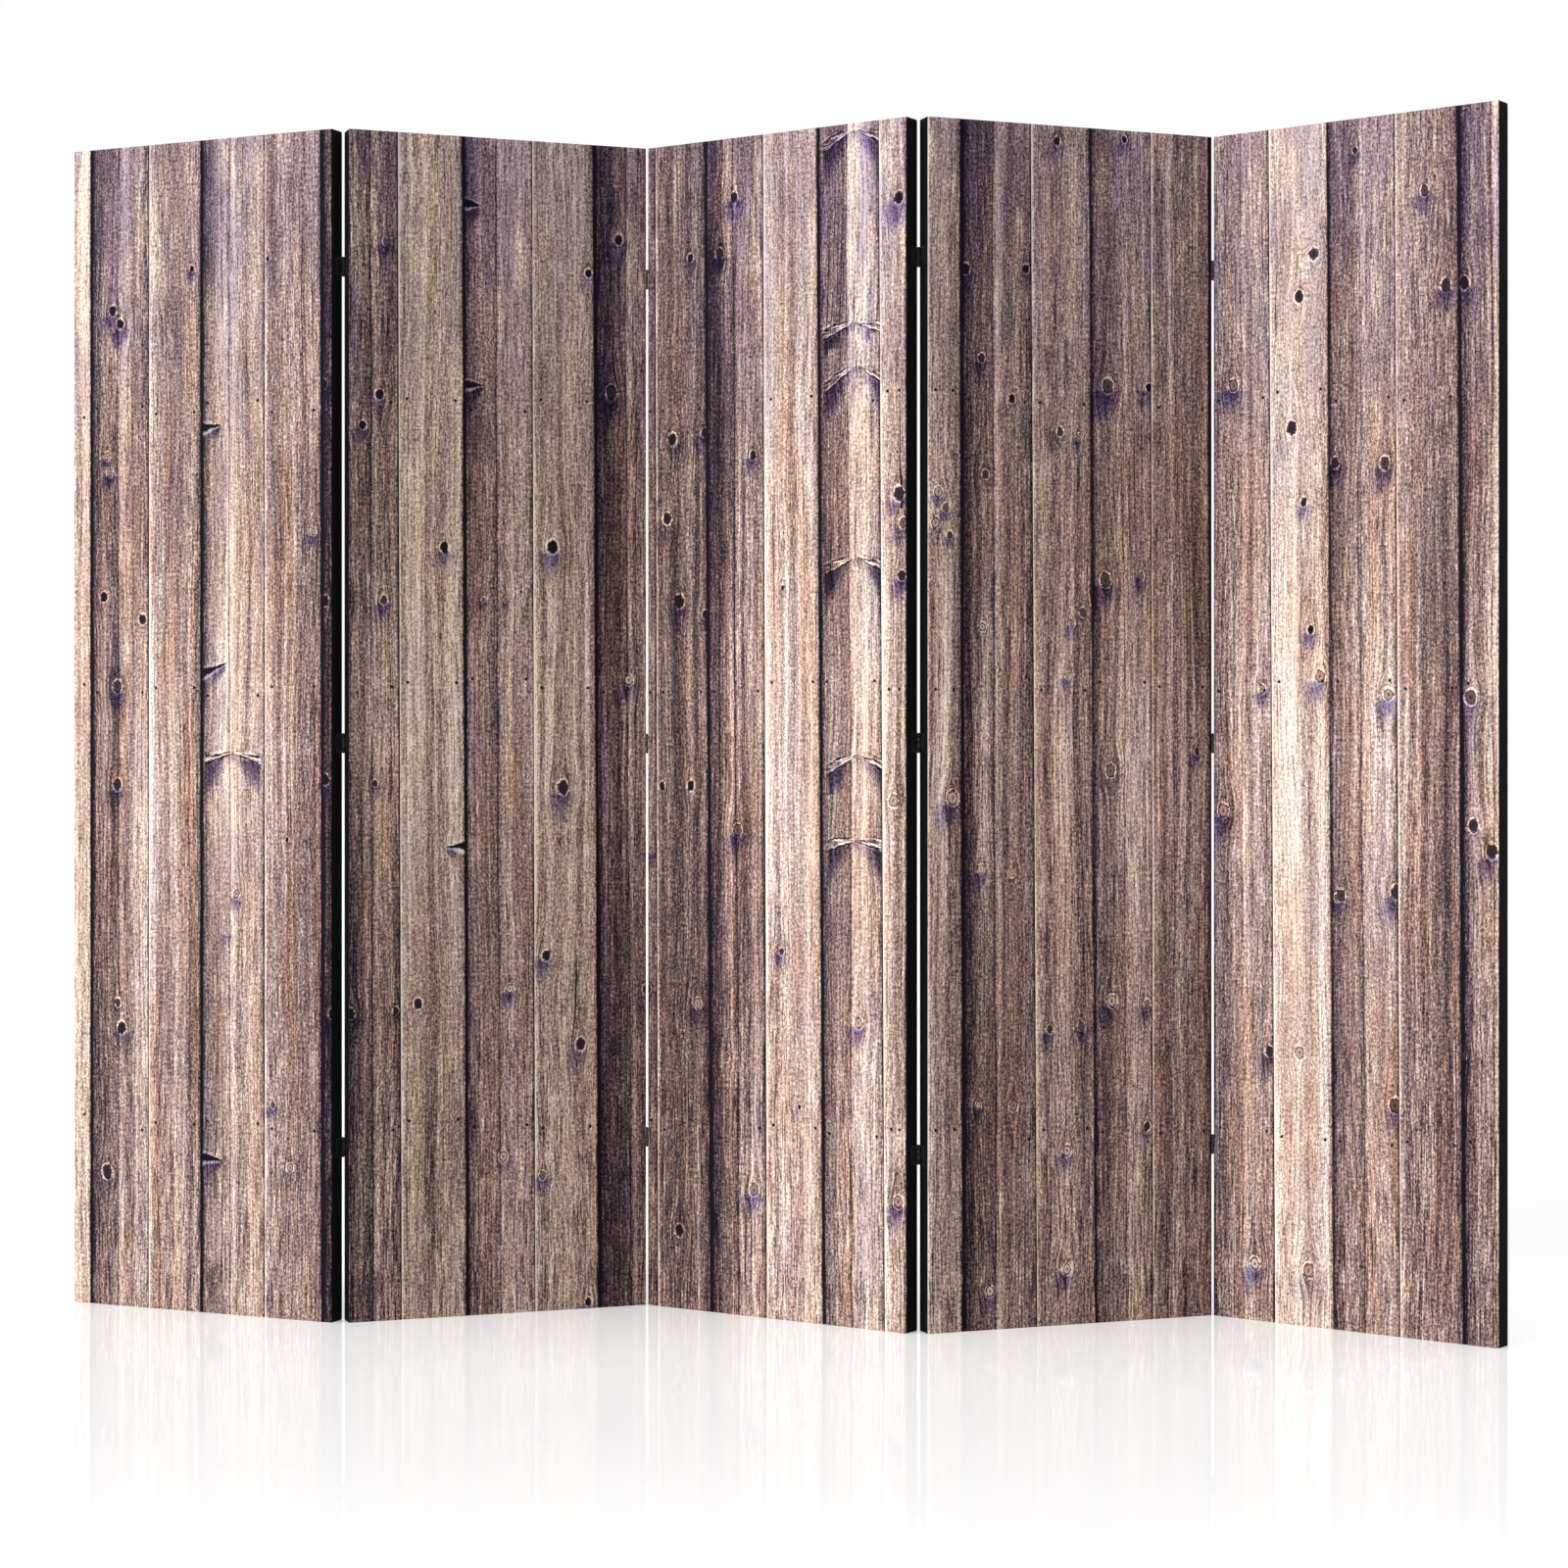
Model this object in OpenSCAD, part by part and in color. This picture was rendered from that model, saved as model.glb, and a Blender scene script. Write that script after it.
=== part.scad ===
/* [Panels] */
// Height of each panel
panel_h = 1720; // [1600:10:1900]
// Width of each panel
panel_w = 450; // [350:5:600]
// Thickness of each panel, with its cloths
panel_t = 30; // [22:0.5:35]
// Angle that fold 1 stands away from flat
fold_1_angle = 45; // [0:1:150]
// Angle that folds 2 and 3, on the two sides of the middle panel, stand away from flat
middle_fold_angle = 54; // [0:1:150]
// Angle that fold 4 stands away from flat
fold_4_angle = 58; // [0:1:150]

/* [Stretcher frame] */
// Width of the stretcher bars
bar_w = 40; // [30:1:60]
// Width of the raised lip that the cloth is stretched over
bar_lip = 6; // [3:0.5:12]
// Depth that the bars fall away behind the cloth
bar_drop = 3; // [1:0.5:5]
// Height of the middle rail's centre above the floor
middle_rail_z = 880; // [865:5:960]
// Length of the middle rail's tenons
tenon_l = 15; // [8:1:20]
// Height of the middle rail's tenons
tenon_h = 26; // [16:1:30]
// Thickness of the middle rail's tenons
tenon_t = 10; // [6:1:12]

/* [Cloth] */
// Thickness of the face cloth and the backing cloth
cloth_t = 0.8; // [0.4:0.1:1.2]
// Width of the face cloth's turn-over on the back
return_w = 28; // [22:1:30]
// Distance from a panel's edge to the edge of the backing cloth
cover_inset = 3; // [2:0.5:6]

/* [Hinges] */
// Height of a hinge
hinge_h = 28; // [24:1:40]
// Height of the low hinges' centres above the floor
low_hinge_z = 250; // [150:5:400]
// Height of the middle hinges' centres above the floor
middle_hinge_z = 835; // [700:5:840]
// Distance of the top hinges' centres below the top of the panels
top_hinge_drop = 195; // [120:5:300]
// Gap between the edges of two panels in line
hinge_gap = 2.4; // [2.4:0.1:2.8]
// Distance that the hinge axis stands proud of the panel faces
axis_proud = 0.65; // [0.65:0.05:1.2]
// Width of a hinge leaf, from the axis
leaf_w = 19; // [15:0.5:21]
// Thickness of a hinge leaf
leaf_t = 0.8; // [0.7:0.05:1]
// Radius of a hinge knuckle
knuckle_r = 1.15; // [1:0.05:1.15]
// Radius of a hinge pin
pin_r = 0.55; // [0.4:0.05:0.6]
// Clearance between a pin and its knuckles, on the radius
pin_play = 0.05; // [0.02:0.01:0.1]

/* [Fasteners] */
// Length of a hinge screw
screw_l = 13; // [8:0.5:16]
// Radius of a hinge screw's shank
screw_r = 1.25; // [1:0.05:1.5]
// Radius of a hinge screw's head
screw_head_r = 2.5; // [2.2:0.1:3]
// Width of a staple's crown
staple_w = 11; // [8:0.5:13]
// Length of a staple's legs, from the back of the panel
staple_leg = 6; // [4:0.5:8]
// Thickness of the staple wire
staple_wire = 0.6; // [0.4:0.1:0.7]
// Distance from a panel's edge to its staples
staple_inset = 15; // [12:0.5:20]
// Number of staples along each side of a panel
side_staples = 9; // [4:1:14]
// Number of staples along the top and the bottom of a panel
end_staples = 3; // [2:1:5]

/* [Hidden] */
$fn = 48;
panel_count = 5;
fold_count = panel_count - 1;
PANEL_PARTS = [
    "left_stile", "right_stile", "top_rail", "middle_rail", "bottom_rail",
    "front_canvas", "back_cover", "staples", "hinge_screws"
];
FOLD_PARTS = ["left_leaves", "right_leaves", "pins"];
function panel_node(p, part) = str("panel_", p, "_", part);
function fold_node(f, part) = str("fold_", f, "_", part);

// Colours
wood_colour = [0.80, 0.66, 0.47];
print_colour = [0.66, 0.60, 0.56];
black_cloth_colour = [0.07, 0.07, 0.08];
black_metal_colour = [0.09, 0.09, 0.10];
pin_colour = [0.14, 0.14, 0.15];
staple_colour = [0.75, 0.76, 0.78];

// A cut runs this far past the solid that it is taken from
over = 1;

// Stretcher frame, inside the face cloth, its turn-over and the backing cloth
cloth_layers = 3;
bar_t = panel_t - cloth_layers * cloth_t;
frame_w = panel_w - 2 * cloth_t;
frame_h = panel_h - 2 * cloth_t;
rail_clear = frame_w - 2 * bar_w;
middle_rail_t = bar_t - bar_drop;

// Hinges
hinge_z = [low_hinge_z, middle_hinge_z, panel_h - top_hinge_drop];
knuckle_count = 3;
outer_knuckles = [0, 2];
inner_knuckles = [1];
knuckle_pitch = hinge_h / knuckle_count;
knuckle_gap = 0.3;
notch_w = knuckle_r + knuckle_gap;
leaf_corner_r = 2;
pin_head_r = knuckle_r;
pin_head_t = 0.6;
leaf_near = hinge_gap / 2 - leaf_t;

// Hinge screws
screw_in = 10;
screw_spread = 7.5;
screw_play = 0.04;
screw_tip = 3;
slot_l = 2.6;
slot_w = 0.5;
slot_t = 0.45;

// Staples
staple_margin = 60;

// Folds that stand towards the front have their hinges at the back
function hinge_at_back(f) = f % 2 == 1;

// Where each panel stands, seen from above, with the middle panel and its neighbours at even angles
headings = [
    middle_fold_angle / 2 - fold_1_angle,
    middle_fold_angle / 2,
    -middle_fold_angle / 2,
    middle_fold_angle / 2,
    middle_fold_angle / 2 - fold_4_angle
];
function heading(p) = headings[p - 1];
function turned(p, v) = [
    v.x * cos(heading(p)) - v.y * sin(heading(p)),
    v.x * sin(heading(p)) + v.y * cos(heading(p))
];
function axis_y(f) = hinge_at_back(f) ? panel_t + axis_proud : -axis_proud;
function axis_on_left(f) = [panel_w + hinge_gap / 2, axis_y(f)];
function axis_on_right(f) = [-hinge_gap / 2, axis_y(f)];
function chained(p) = p == 1 ? [0, 0]
    : chained(p - 1) + turned(p - 1, axis_on_left(p - 1)) - turned(p, axis_on_right(p - 1));
panel_corners = [
    for (x = [0, panel_w]) for (y = [0, panel_t - cloth_t]) [x, y],
    for (x = [cover_inset, panel_w - cover_inset]) [x, panel_t]
];
knuckle_reach = knuckle_r * [[1, 0], [-1, 0], [0, 1], [0, -1]];
outline = [
    for (p = [1 : panel_count]) for (c = panel_corners) chained(p) + turned(p, c),
    for (f = [1 : fold_count]) for (k = knuckle_reach)
        chained(f) + turned(f, axis_on_left(f)) + k
];
outline_x = [for (v = outline) v.x];
outline_y = [for (v = outline) v.y];
middle = [
    (min(outline_x) + max(outline_x)) / 2,
    (min(outline_y) + max(outline_y)) / 2
];

// Puts a piece that is drawn in a panel's own frame where the panel stands
module on_panel(p) {
    at = chained(p) - middle;
    translate([at.x, at.y, 0]) rotate([0, 0, heading(p)]) children();
}

// Turns a hinge's own frame, with X into the panel and Y into its thickness, to a panel edge
module on_edge(f, right_edge) {
    x = right_edge ? axis_on_left(f).x : axis_on_right(f).x;
    translate([x, axis_y(f), 0])
        mirror([right_edge ? 1 : 0, 0, 0])
            mirror([0, hinge_at_back(f) ? 1 : 0, 0])
                children();
}

// Repeats a hinge piece at each hinge height
module at_hinges() {
    for (z = hinge_z) translate([0, 0, z - hinge_h / 2]) children();
}

// Repeats a hinge piece at each screw of one leaf, with Z along the screw, into the stile
module at_leaf_screws() {
    for (side = [-1, 1])
        translate([leaf_near, screw_in, hinge_h / 2 + side * screw_spread])
            rotate([0, 90, 0])
                children();
}

// Repeats a hinge piece on every edge of a panel that has hinges
module at_panel_hinges(p) {
    if (p > 1) on_edge(p - 1, false) at_hinges() children();
    if (p < panel_count) on_edge(p, true) at_hinges() children();
}

module screw() {
    difference() {
        union() {
            cylinder(h = leaf_t, r1 = screw_head_r, r2 = screw_r);
            cylinder(h = screw_l - screw_tip, r = screw_r);
            translate([0, 0, screw_l - screw_tip]) cylinder(h = screw_tip, r1 = screw_r, r2 = 0);
        }
        for (turn = [0, 90])
            rotate([0, 0, turn])
                translate([-slot_l / 2, -slot_w / 2, -over])
                    cube([slot_l, slot_w, slot_t + over]);
    }
}

module screw_hole() {
    cylinder(h = screw_l + over, r = screw_r + screw_play);
}

module staple() {
    half = staple_w / 2;
    translate([-half, 0, -staple_wire / 2]) cube([staple_w, staple_wire, staple_wire]);
    staple_legs();
}

module staple_legs() {
    half = staple_w / 2;
    for (x = [-half, half - staple_wire])
        translate([x, -staple_leg, -staple_wire / 2])
            cube([staple_wire, staple_leg + staple_wire, staple_wire]);
}

function spaced(count, length) =
    [for (i = [0 : count - 1]) staple_margin + i * (length - 2 * staple_margin) / (count - 1)];

// Repeats a staple round the back of a panel, its crown along the nearest edge
module at_staples() {
    for (x = [staple_inset, panel_w - staple_inset])
        for (z = spaced(side_staples, panel_h))
            translate([x, panel_t, z]) rotate([0, 90, 0]) children();
    for (z = [staple_inset, panel_h - staple_inset])
        for (x = spaced(end_staples, panel_w))
            translate([x, panel_t, z]) children();
}

// A stretcher bar along Z, its outer edge on the YZ plane and both ends mitred
module mitred_bar(length) {
    profile = [[0, 0], [bar_lip, 0], [bar_w, bar_drop], [bar_w, bar_t], [0, bar_t]];
    face = [[0, 0], [bar_w, bar_w], [bar_w, length - bar_w], [0, length]];
    intersection() {
        linear_extrude(length) polygon(profile);
        translate([0, bar_t, 0]) rotate([90, 0, 0]) linear_extrude(bar_t) polygon(face);
    }
}

module tenon(extra = 0) {
    translate([0, (middle_rail_t - tenon_t) / 2, -tenon_h / 2])
        cube([tenon_l + extra, tenon_t, tenon_h]);
}

// Brings a piece of the left half of the frame to its place inside the cloth
module in_frame() {
    translate([cloth_t, cloth_t, cloth_t]) children();
}

module stile(p, right) {
    color(wood_colour) difference() {
        translate([right ? panel_w : 0, 0, 0]) mirror([right ? 1 : 0, 0, 0]) in_frame() difference() {
            mitred_bar(frame_h);
            translate([bar_w - tenon_l, bar_drop, middle_rail_z - cloth_t]) tenon(over);
        }
        at_staples() staple_legs();
        at_panel_hinges(p) at_leaf_screws() screw_hole();
    }
}

module end_rail(top) {
    color(wood_colour) difference() {
        translate([0, 0, top ? panel_h : 0]) mirror([0, 0, top ? 1 : 0]) in_frame()
            mirror([1, 0, -1]) mitred_bar(frame_w);
        at_staples() staple_legs();
    }
}

module middle_rail() {
    color(wood_colour)
        translate([cloth_t + bar_w, cloth_t + bar_drop, middle_rail_z]) {
            translate([0, 0, -bar_w / 2]) cube([rail_clear, middle_rail_t, bar_w]);
            translate([-tenon_l, 0, 0]) tenon();
            translate([rail_clear, 0, 0]) tenon();
        }
}

// Face cloth: the face, four wrapped edges and the turn-over on the back
module front_canvas(p) {
    color(print_colour) difference() {
        cube([panel_w, panel_t - cloth_t, panel_h]);
        in_frame() cube([frame_w, bar_t, frame_h]);
        translate([return_w, panel_t / 2, return_w])
            cube([panel_w - 2 * return_w, panel_t, panel_h - 2 * return_w]);
        at_staples() staple_legs();
        at_panel_hinges(p) at_leaf_screws() screw_hole();
    }
}

module back_cover() {
    color(black_cloth_colour) difference() {
        translate([cover_inset, panel_t - cloth_t, cover_inset])
            cube([panel_w - 2 * cover_inset, cloth_t, panel_h - 2 * cover_inset]);
        at_staples() staple_legs();
    }
}

module staples() {
    color(staple_colour) at_staples() staple();
}

module hinge_screws(p) {
    color(black_metal_colour) at_panel_hinges(p) at_leaf_screws() screw();
}

// Outline of a leaf plate, the axis along its left edge
module leaf_outline() {
    square([leaf_w - leaf_corner_r, hinge_h]);
    translate([0, leaf_corner_r]) square([leaf_w, hinge_h - 2 * leaf_corner_r]);
    for (z = [leaf_corner_r, hinge_h - leaf_corner_r])
        translate([leaf_w - leaf_corner_r, z]) circle(leaf_corner_r);
}

// One hinge leaf with the knuckles that are listed in mine
module leaf(mine) {
    difference() {
        union() {
            translate([leaf_near, 0, 0])
                rotate([90, 0, 90])
                    linear_extrude(leaf_t) leaf_outline();
            for (k = mine)
                translate([0, 0, k * knuckle_pitch]) cylinder(h = knuckle_pitch, r = knuckle_r);
        }
        for (k = [0 : knuckle_count - 1])
            if (len(search(k, mine)) == 0)
                translate([-knuckle_r - over, -knuckle_r - over, k * knuckle_pitch - knuckle_gap / 2])
                    cube([2 * (knuckle_r + over), knuckle_r + over + notch_w, knuckle_pitch + knuckle_gap]);
        translate([0, 0, -over]) cylinder(h = hinge_h + 2 * over, r = pin_r + pin_play);
        at_leaf_screws() {
            cylinder(h = leaf_t, r1 = screw_head_r + screw_play, r2 = screw_r + screw_play);
            translate([0, 0, -over]) cylinder(h = over, r = screw_head_r + screw_play);
            cylinder(h = leaf_t + over, r = screw_r + screw_play);
        }
    }
}

module left_leaves(f) {
    color(black_metal_colour) on_edge(f, true) at_hinges() leaf(outer_knuckles);
}

module right_leaves(f) {
    color(black_metal_colour) on_edge(f, false) at_hinges() leaf(inner_knuckles);
}

// A pin with a riveted head at each end
module pins(f) {
    color(pin_colour) on_edge(f, true) at_hinges() {
        cylinder(h = hinge_h, r = pin_r);
        for (z = [-pin_head_t, hinge_h]) translate([0, 0, z]) cylinder(h = pin_head_t, r = pin_head_r);
    }
}

for (p = [1 : panel_count]) {
    on_panel(p) stile(p, false);
    on_panel(p) stile(p, true);
    on_panel(p) end_rail(true);
    on_panel(p) middle_rail();
    on_panel(p) end_rail(false);
    on_panel(p) front_canvas(p);
    on_panel(p) back_cover();
    on_panel(p) staples();
    on_panel(p) hinge_screws(p);
}
for (f = [1 : fold_count]) {
    on_panel(f) left_leaves(f);
    on_panel(f + 1) right_leaves(f);
    on_panel(f) pins(f);
}
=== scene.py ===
import math

import bmesh
import bpy
import numpy as np
from mathutils import Matrix, Vector


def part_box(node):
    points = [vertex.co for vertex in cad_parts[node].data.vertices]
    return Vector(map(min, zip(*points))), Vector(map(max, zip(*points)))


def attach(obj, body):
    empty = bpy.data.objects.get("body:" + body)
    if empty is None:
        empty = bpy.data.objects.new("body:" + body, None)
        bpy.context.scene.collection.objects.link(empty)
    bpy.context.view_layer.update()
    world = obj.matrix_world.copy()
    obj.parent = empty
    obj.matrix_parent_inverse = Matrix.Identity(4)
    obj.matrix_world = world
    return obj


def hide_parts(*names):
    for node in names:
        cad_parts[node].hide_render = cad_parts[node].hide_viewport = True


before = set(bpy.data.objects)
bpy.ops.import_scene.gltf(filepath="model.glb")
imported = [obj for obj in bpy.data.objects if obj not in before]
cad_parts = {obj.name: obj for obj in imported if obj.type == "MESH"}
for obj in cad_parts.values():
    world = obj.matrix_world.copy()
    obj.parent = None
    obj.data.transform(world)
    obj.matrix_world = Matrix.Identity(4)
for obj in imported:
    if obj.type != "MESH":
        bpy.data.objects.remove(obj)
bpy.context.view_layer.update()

# ---------------------------------------------------------------- sizes, as in the CAD, in metres
MM = 0.001
PANELS = 5
WIDE, TALL, THICK = 0.450, 1.720, 0.030
FOLDS = (45.0, 54.0, 54.0, 58.0)      # degrees away from a flat screen, fold by fold
HINGE_GAP, AXIS_PROUD = 2.4 * MM, 0.65 * MM
CLOTH_T = 0.8 * MM                    # cloth and cover, each
TURN_OVER = 28 * MM                   # cloth turned over on the back
COVER_INSET = 3 * MM


def headings():
    """Degrees from +X for each panel. The middle panel's neighbours lean evenly either side of it."""
    h = {3: -FOLDS[1] / 2}
    h[2] = h[3] + FOLDS[1]
    h[1] = h[2] - FOLDS[0]
    h[4] = h[3] + FOLDS[2]
    h[5] = h[4] - FOLDS[3]
    return h


def place_panels():
    """World matrix of each panel's own frame: x across it, y from its face to its back, z up."""
    turn = {p: Matrix.Rotation(math.radians(a), 3, "Z") for p, a in headings().items()}
    origin = {1: Vector((0, 0, 0))}
    for p in range(2, PANELS + 1):
        y = THICK + AXIS_PROUD if p % 2 == 0 else -AXIS_PROUD
        origin[p] = (origin[p - 1] + turn[p - 1] @ Vector((WIDE + HINGE_GAP / 2, y, 0))
                     - turn[p] @ Vector((-HINGE_GAP / 2, y, 0)))
    lo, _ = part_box("panel_1_front_canvas")
    corners = [origin[1] + turn[1] @ Vector((x, y, 0))
               for x in (0, WIDE) for y in (0, THICK - CLOTH_T)]
    shift = Vector((lo[0] - min(c.x for c in corners), lo[1] - min(c.y for c in corners), 0))
    return {p: Matrix.Translation(origin[p] + shift) @ turn[p].to_4x4() for p in origin}


PLACE = place_panels()

# ---------------------------------------------------------------- camera
EYE = (0.5641, -4.7998, 0.8167)       # at eye level, in front of the screen
EYE_TURN = 6.395                      # degrees to the left
LENS = 76.5                           # millimetres, on Blender's 36 mm sensor
SHIFT = -0.018                        # part of the frame's width

camera = bpy.data.objects.new("camera", bpy.data.cameras.new("camera"))
bpy.context.collection.objects.link(camera)
bpy.context.scene.camera = camera
camera.location = EYE
camera.rotation_euler = (math.radians(90), 0, math.radians(EYE_TURN))
camera.data.lens = LENS
camera.data.shift_y = SHIFT


# ---------------------------------------------------------------- node writing
class Wire:
    """A node's output, on which arithmetic makes Math nodes."""

    def __init__(self, net, socket):
        self.net, self.socket = net, socket

    def __add__(self, o): return self.net.math("ADD", self, o)
    def __radd__(self, o): return self.net.math("ADD", o, self)
    def __sub__(self, o): return self.net.math("SUBTRACT", self, o)
    def __rsub__(self, o): return self.net.math("SUBTRACT", o, self)
    def __mul__(self, o): return self.net.math("MULTIPLY", self, o)
    def __rmul__(self, o): return self.net.math("MULTIPLY", o, self)
    def __truediv__(self, o): return self.net.math("DIVIDE", self, o)
    def __neg__(self): return self.net.math("MULTIPLY", self, -1.0)
    def __abs__(self): return self.net.math("ABSOLUTE", self)


class Net:
    """A material's node tree, written as formulas."""

    def __init__(self, name):
        self.material = bpy.data.materials.new(name)
        self.material.use_nodes = True
        self.tree = self.material.node_tree
        self.tree.nodes.clear()

    def node(self, kind, **settings):
        n = self.tree.nodes.new(kind)
        for key, value in settings.items():
            setattr(n, key, value)
        return n

    def put(self, socket, value):
        if isinstance(value, Wire):
            self.tree.links.new(value.socket, socket)
        elif isinstance(value, tuple) and len(value) == 3 and len(socket.default_value) == 4:
            socket.default_value = (*value, 1)
        else:
            socket.default_value = value

    def math(self, op, *values, clamp=False):
        n = self.node("ShaderNodeMath", operation=op, use_clamp=clamp)
        for socket, value in zip(n.inputs, values):
            self.put(socket, value)
        return Wire(self, n.outputs[0])

    def clamp(self, value):
        return self.math("ADD", value, 0.0, clamp=True)

    def exp(self, value):
        return self.math("EXPONENT", value)

    def sin(self, value):
        return self.math("SINE", value)

    def hill(self, *parts):
        """1 in the middle, falling off smoothly: each part is (distance, half width)."""
        total = None
        for distance, half in parts:
            q = distance / half
            total = q * q if total is None else total + q * q
        return self.exp(-total)

    def linear(self, value, lo, hi, to_lo=0.0, to_hi=1.0, how="LINEAR"):
        """Carries a value that runs from lo to hi over to to_lo to to_hi, and stops at both ends."""
        n = self.node("ShaderNodeMapRange", interpolation_type=how)
        for socket, v in zip(n.inputs, (value, lo, hi, to_lo, to_hi)):
            self.put(socket, v)
        return Wire(self, n.outputs[0])

    def smooth(self, value, lo, hi, to_lo=0.0, to_hi=1.0):
        """The same, easing in and out."""
        return self.linear(value, lo, hi, to_lo, to_hi, "SMOOTHSTEP")

    def vec(self, x, y, z):
        n = self.node("ShaderNodeCombineXYZ")
        for socket, v in zip(n.inputs, (x, y, z)):
            self.put(socket, v)
        return Wire(self, n.outputs[0])

    def split(self, vector):
        n = self.node("ShaderNodeSeparateXYZ")
        self.put(n.inputs[0], vector)
        return [Wire(self, s) for s in n.outputs]

    def attribute(self, name):
        n = self.node("ShaderNodeAttribute", attribute_name=name)
        return self.split(Wire(self, n.outputs["Vector"]))

    def here(self):
        return Wire(self, self.node("ShaderNodeTexCoord").outputs["Object"])

    def turned(self, vector, degrees):
        n = self.node("ShaderNodeVectorRotate", rotation_type="Z_AXIS")
        self.put(n.inputs["Vector"], vector)
        n.inputs["Angle"].default_value = math.radians(degrees)
        return Wire(self, n.outputs[0])

    def noise(self, vector, scale=1.0, detail=2.0, roughness=0.5):
        n = self.node("ShaderNodeTexNoise")
        self.put(n.inputs["Vector"], vector)
        for key, v in (("Scale", scale), ("Detail", detail), ("Roughness", roughness)):
            n.inputs[key].default_value = v
        return Wire(self, n.outputs[0])

    def ramp(self, value, *stops):
        n = self.node("ShaderNodeValToRGB")
        self.put(n.inputs[0], value)
        band = n.color_ramp.elements
        while len(band) < len(stops):
            band.new(1.0)
        for e, (at, colour) in zip(band, stops):
            e.position, e.color = at, (*colour, 1)
        return Wire(self, n.outputs[0])

    def mix(self, share, a, b, how="MIX"):
        n = self.node("ShaderNodeMix", data_type="RGBA", blend_type=how)
        # a Mix node has sockets for every data type: 6, 7 and output 2 are the colours
        self.put(n.inputs[0], share)
        self.put(n.inputs[6], a)
        self.put(n.inputs[7], b)
        return Wire(self, n.outputs[2])

    def bump(self, height, distance, strength=1.0):
        n = self.node("ShaderNodeBump")
        n.inputs["Strength"].default_value = strength
        n.inputs["Distance"].default_value = distance
        self.put(n.inputs["Height"], height)
        return Wire(self, n.outputs[0])

    def finish(self, **sockets):
        shader = self.node("ShaderNodeBsdfPrincipled")
        out = self.node("ShaderNodeOutputMaterial")
        for key, value in sockets.items():
            self.put(shader.inputs[key.replace("_", " ")], value)
        self.tree.links.new(shader.outputs[0], out.inputs[0])
        return self.material


def srgb(r, g, b):
    """A colour given as it looks on a screen, 0 to 255, for a socket: the sRGB curve."""
    return tuple((c / 255 / 12.92) if c <= 10 else ((c / 255 + 0.055) / 1.055) ** 2.4
                 for c in (r, g, b))


# ---------------------------------------------------------------- the printed picture, in millimetres
# Boards from left to right over all five panels: left edge at the top, left edge at the foot,
# how far the board is nailed over its neighbours (0 to 1), lightness, warmth.
BOARDS = (
    (-70, -70, 1, 0.80, 0.45), (30, 30, 0, 0.60, 0.55), (135, 134, 1, 0.61, 0.80),
    (226, 226, 0, 0.68, 0.35), (337, 337, 1, 0.55, 0.60), (432, 434, 0, 0.46, 0.40),
    (522, 528, 1, 0.66, 0.08), (618, 625, 0, 0.63, 0.45), (724, 729, 1, 0.65, 0.12),
    (818, 826, 0, 0.44, 0.40), (914, 919, 1, 0.43, 0.35), (1003, 1014, 0, 0.56, 0.60),
    (1106, 1113, 1, 0.70, 0.65), (1199, 1210, 0, 0.70, 0.45), (1304, 1314, 1, 0.66, 0.45),
    (1350, 1350, 1, 0.59, 0.30), (1400, 1404, 0, 0.51, 0.40), (1510, 1520, 1, 0.53, 0.45),
    (1603, 1613, 0.4, 0.56, 0.45), (1701, 1705, 1, 0.50, 0.50), (1795, 1800, 0.4, 0.61, 0.50),
    (1891, 1902, 1, 0.79, 0.40), (1985, 1996, 0.4, 0.58, 0.60), (2092, 2101, 1, 0.51, 0.55),
    (2188, 2197, 0, 0.59, 0.50), (2290, 2290, 1, 0.6, 0.5))
# How much light and dark differ along a board, where it isn't 1, by the board's left edge at the top.
CONTRAST = {30: 1.15, 226: 1.1, 818: 0.85, 1003: 1.6, 1199: 1.1, 1603: 0.75, 1795: 0.8, 1985: 0.85}

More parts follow.
